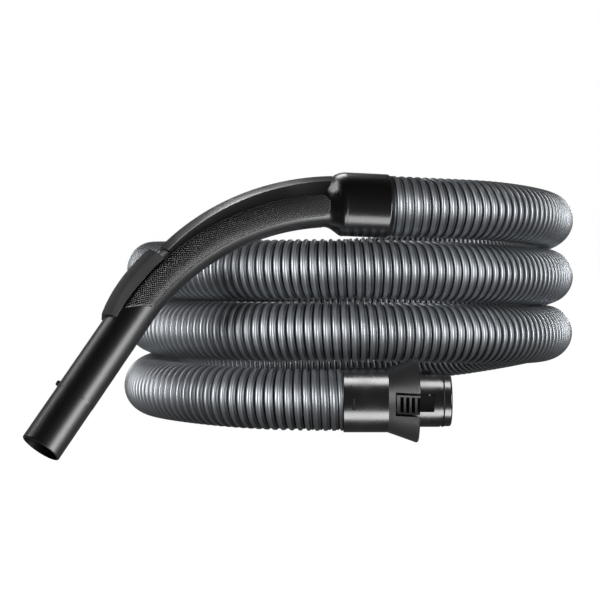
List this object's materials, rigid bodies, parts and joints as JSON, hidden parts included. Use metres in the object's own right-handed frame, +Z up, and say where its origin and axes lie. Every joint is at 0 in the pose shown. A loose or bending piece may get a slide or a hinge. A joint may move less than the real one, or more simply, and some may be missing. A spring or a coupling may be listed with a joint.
{
  "type": "vacuum cleaner suction hose",
  "caption": "Corrugated suction hose coiled for storage, with a bent swivel hand grip and wand spigot at one end and a latching swivel machine connector at the other.",
  "frame": {"origin": "on the floor, under the middle of the box that holds the grip and the connector", "axes": "+Z up; +X along the connector, out of its spigot, with the grip's cuff pointing nearly the same way; +Y from the front of the coil to its back"},
  "size_m": [0.4255, 0.4975, 0.2009],
  "materials": {
    "moulded_black": "satin moulded black",
    "cover_black": "fine spark-eroded black",
    "pad_rubber": "soft-touch with a fine diamond texture",
    "bush_black": "plain moulded black",
    "button_black": "plain moulded black",
    "ring_acetal": "natural black acetal",
    "seal_rubber": "smooth",
    "spring_steel": "plain strip",
    "hose_grey": "silver grey, satin"
  },
  "bodies": {
    "hose": {"hose_span_top": "hose_grey", "hose_span_middle": "hose_grey", "hose_span_bottom": "hose_grey", "grip_hose_bush": "bush_black", "grip_swivel_seal": "seal_rubber", "connector_hose_bush": "bush_black", "connector_swivel_seal": "seal_rubber"},
    "grip": {"grip_tube": "moulded_black", "grip_cover": "cover_black", "grip_pad_front": "pad_rubber", "grip_pad_back": "pad_rubber", "grip_retainer_ring": "ring_acetal", "lock_button_spring": "spring_steel"},
    "air_slider": {"air_slider": "cover_black", "slider_detent_spring": "spring_steel"},
    "lock_button": {"wand_lock_button": "button_black"},
    "connector": {"connector_cuff": "moulded_black", "connector_retainer_ring": "ring_acetal", "release_collar": "moulded_black", "machine_spigot": "moulded_black", "spigot_seal": "seal_rubber", "latch_spring_front": "spring_steel", "latch_spring_back": "spring_steel"},
    "release_front": {"release_button_front": "button_black"},
    "release_back": {"release_button_back": "button_black"}
  },
  "joints": [
    {"name": "grip_swivel", "type": "hinge", "parent": "hose", "child": "grip", "pos_m": [0.1075, 0.0524, 0.1753], "axis": [-0.9904, -0.1304, 0.0454], "continuous": true},
    {"name": "air_slide", "type": "hinge", "parent": "grip", "child": "air_slider", "pos_m": [0.07989, -0.03065, 0.00614], "axis": [-0.1374, 0.8978, -0.4184], "range_deg": [0, 1.5]},
    {"name": "wand_lock", "type": "slide", "parent": "grip", "child": "lock_button", "axis": [0.8561, -0.1048, -0.5061], "range_m": [0, 0.002], "stiffness_N_per_m": 400, "springref_m": -0.002, "deforming": ["lock_button_spring"]},
    {"name": "connector_swivel", "type": "hinge", "parent": "hose", "child": "connector", "pos_m": [0.072, 0.0257, 0.0316], "axis": [1, 0, 0], "continuous": true},
    {"name": "release_press_front", "type": "slide", "parent": "connector", "child": "release_front", "axis": [0, 1, 0], "range_m": [0, 0.0022], "stiffness_N_per_m": 500, "springref_m": -0.002, "deforming": ["latch_spring_front"]},
    {"name": "release_press_back", "type": "slide", "parent": "connector", "child": "release_back", "axis": [0, -1, 0], "range_m": [0, 0.0022], "stiffness_N_per_m": 500, "springref_m": -0.002, "deforming": ["latch_spring_back"]}
  ]
}
